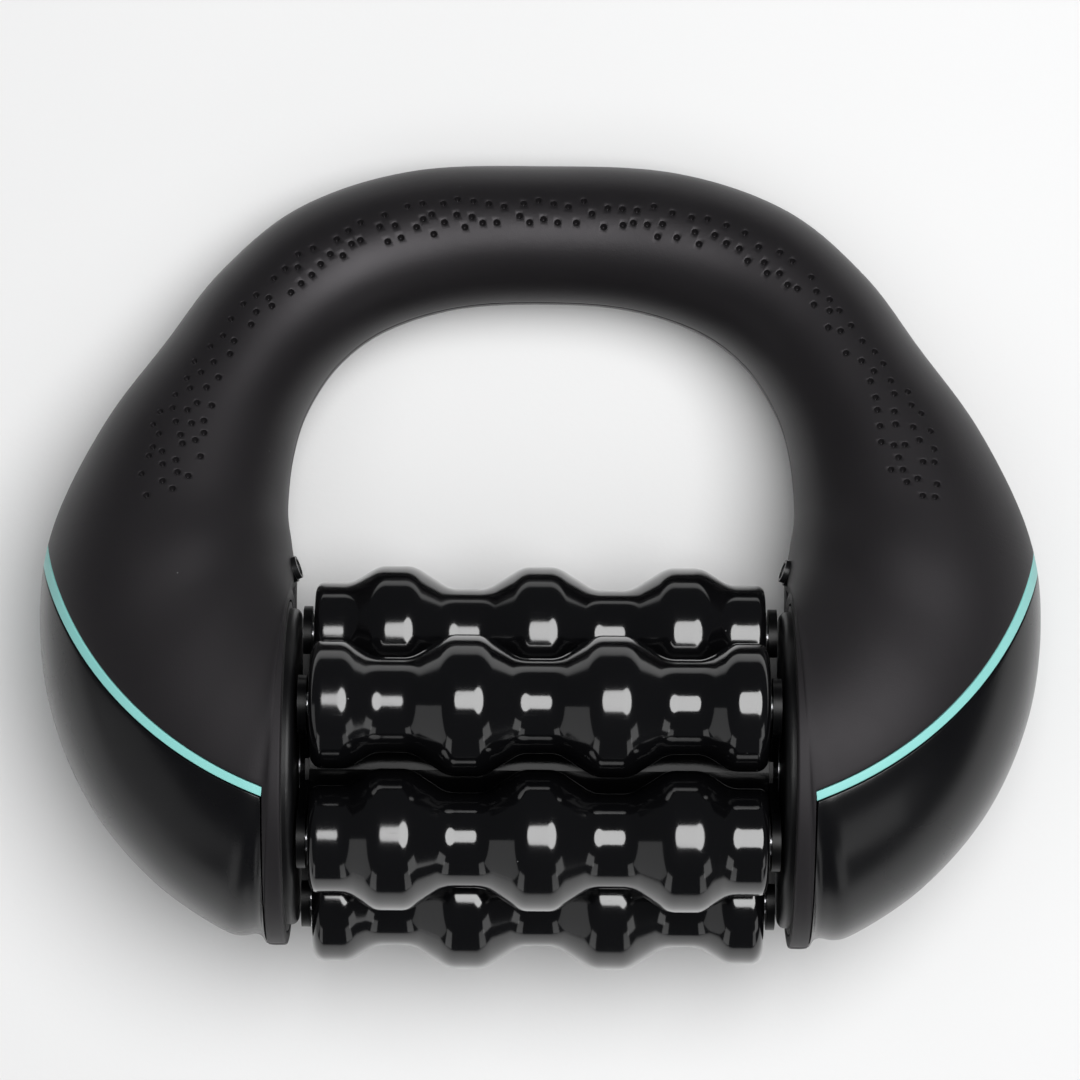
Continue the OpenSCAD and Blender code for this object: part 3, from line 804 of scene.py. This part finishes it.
# ---------------------------------------------------------------- the handle's pieces
def build_handle():
    """The two soft-touch shells, with dimples in the front and screw recesses in the back."""
    front = handle_shell(front=True)
    scatter_dimples(front)
    make_object("front_shell_skin", to_world(np.array(front.points)), front.faces(), "root",
                SOFT, "handle_front_shell")
    back = handle_shell(front=False)
    for t in POST_SECTIONS:
        back.sink(t, -math.pi / 2, RECESS, RECESS_REACH)
    make_object("back_shell_skin", to_world(np.array(back.points)), back.faces(), "root",
                SOFT, "handle_back_shell")


def build_caps():
    """The end caps below the seam and the strips, in one plate round both faces of each pod."""
    seam = SEAM_U + SEAM_GAP
    start = root(lambda t: section(np.array(t))[2] - seam, SEAM_START, SEAM_START + 1)
    ts = even_rows(start + CAP_END, LOW_END - CAP_END, CAP_ROWS)
    ts = crowd(ts, [(start, 1), (LOW_CORNER, 0), (LOW_END, -1)])
    split = split_angle(ts, R_LOW, seam)
    plate = Plate(ts, -split, split, CAP_COLUMNS, gap=0.2, lip=EDGE_LIP)
    points, faces = np.array(plate.points), plate.faces()
    for side, sign in SIDES.items():
        side_points, side_faces = (points, faces) if sign > 0 else mirrored(points, faces)
        make_object(f"{side}_cap_skin", to_world(side_points), side_faces, "root", SATIN,
                    f"{side}_end_cap")


def build_strips():
    """Each accent strip in two halves, in front and behind, that meet at the outer end."""
    ts = even_rows(HIGH_CORNER, HIGH_END - STRIP_END, STRIP_ROWS)
    ts = crowd(ts, [(HIGH_CORNER, 0), (LOW_END, 0), (HIGH_END, -1)])
    low, high = split_angle(ts, R_LOW), split_angle(ts, R_HIGH)
    front = Plate(ts, low, high, STRIP_COLUMNS, gap=0.05, lip=EDGE_LIP)
    back = Plate(ts, -high, -low, STRIP_COLUMNS, gap=0.05, lip=EDGE_LIP)
    offset = len(front.points)
    points = np.array(front.points + back.points)
    faces = front.faces() + [tuple(i + offset for i in f) for f in back.faces()]
    for side, sign in SIDES.items():
        side_points, side_faces = (points, faces) if sign > 0 else mirrored(points, faces)
        make_object(f"{side}_strip_skin", to_world(side_points), side_faces, "root", TEAL,
                    f"{side}_accent_strip")


# ---------------------------------------------------------------- setting
def build_floor():
    """A plain pale sheet of paper board."""
    half_size = 4.0
    steps = 8
    grid = np.linspace(-half_size, half_size, steps + 1)
    points = [(x, y, 0.0) for y in grid for x in grid]
    n = steps + 1
    corners = [j * n + i for j in range(steps) for i in range(steps)]
    faces = [(a, a + 1, a + n + 1, a + n) for a in corners]
    mesh = bpy.data.meshes.new("floor")
    mesh.from_pydata(points, [], faces)
    floor = bpy.data.objects.new("floor", mesh)
    bpy.context.scene.collection.objects.link(floor)
    look = Look("pale_board", (0.78, 0.78, 0.78), 0.6, Specular_IOR_Level=0.2)
    look.base(look.colors(look.noise(9, detail=4), (0.77, 0.77, 0.77), (0.79, 0.79, 0.79)))
    look.bump((look.noise(700, detail=3), 0.00003))
    mesh.materials.append(look.material)


def area_light(name, place, target, size, radiance, long_side=(1, 0, 0), shape="RECTANGLE", glossy=True):
    """A light that faces the target. Its first size runs along long_side as nearly as it can."""
    data = bpy.data.lights.new(name, "AREA")
    data.shape = shape
    data.size, data.size_y = size
    area = size[0] * size[1] * (math.pi / 4 if shape == "ELLIPSE" else 1)
    data.energy = radiance * math.pi * area
    light = bpy.data.objects.new(name, data)
    light.location = place
    back = (Vector(place) - Vector(target)).normalized()
    across = (Vector(long_side) - back * back.dot(Vector(long_side))).normalized()
    light.rotation_euler = Matrix((across, back.cross(across), back)).transposed().to_euler()
    light.visible_glossy = glossy
    bpy.context.scene.collection.objects.link(light)


def build_lights():
    """A softbox high on the right, a wide fill without reflections, and low cards at sides and front."""
    y = AXIS[1] * MM
    area_light("softbox", place=(0.32, y + 0.24, 1.22), target=(0.25, y + 0.12, 0), size=(0.91, 0.94),
               radiance=6.7, shape="ELLIPSE")
    area_light("fill", place=(0.0, y - 0.1, 2.0), target=(0, y, 0), size=(2.8, 2.8), radiance=0.92,
               glossy=False)
    area_light("left_card", place=(-0.95, y - 0.42, 0.33), target=(0, y, 0.03), size=(0.95, 0.64),
               radiance=0.42, long_side=(0, 1, 0))
    area_light("right_card", place=(0.65, y - 0.55, 0.5), target=(0.07, y, 0.07), size=(0.4, 0.38),
               radiance=0.95)
    for sign in SIDES.values():
        area_light(f"front_card_{sign}", place=(sign * 0.43, y - 0.9, 0.33), target=(0, y, 0.05),
                   size=(0.34, 0.6), radiance=0.7)
    world = bpy.data.worlds.new("studio")
    bpy.context.scene.world = world
    world.use_nodes = True
    background = world.node_tree.nodes["Background"]
    background.inputs["Color"].default_value = (0.9, 0.93, 1.0, 1)
    background.inputs["Strength"].default_value = 0.05


def build_camera():
    """Looks straight down on the middle of the handle's length, turned very slightly."""
    height = 1.05  # above the drum axis
    view_width = 0.2257  # at the drum axis
    across = -0.0002  # from the middle of the drum
    towards_grip = 0.04765
    turn = math.radians(0.46)
    data = bpy.data.cameras.new("camera")
    data.sensor_width = 36.0
    data.lens = data.sensor_width * height / view_width
    camera = bpy.data.objects.new("camera", data)
    camera.location = (across, AXIS[1] * MM + towards_grip, AXIS[2] * MM + height)
    camera.rotation_euler = (0, 0, turn)
    bpy.context.scene.collection.objects.link(camera)
    bpy.context.scene.camera = camera


dress_cad_nodes()
build_handle()
build_caps()
build_strips()
for number in range(1, ROLLERS + 1):
    build_roller(number)
build_floor()
build_lights()
build_camera()
bpy.context.scene.view_settings.view_transform = "Standard"
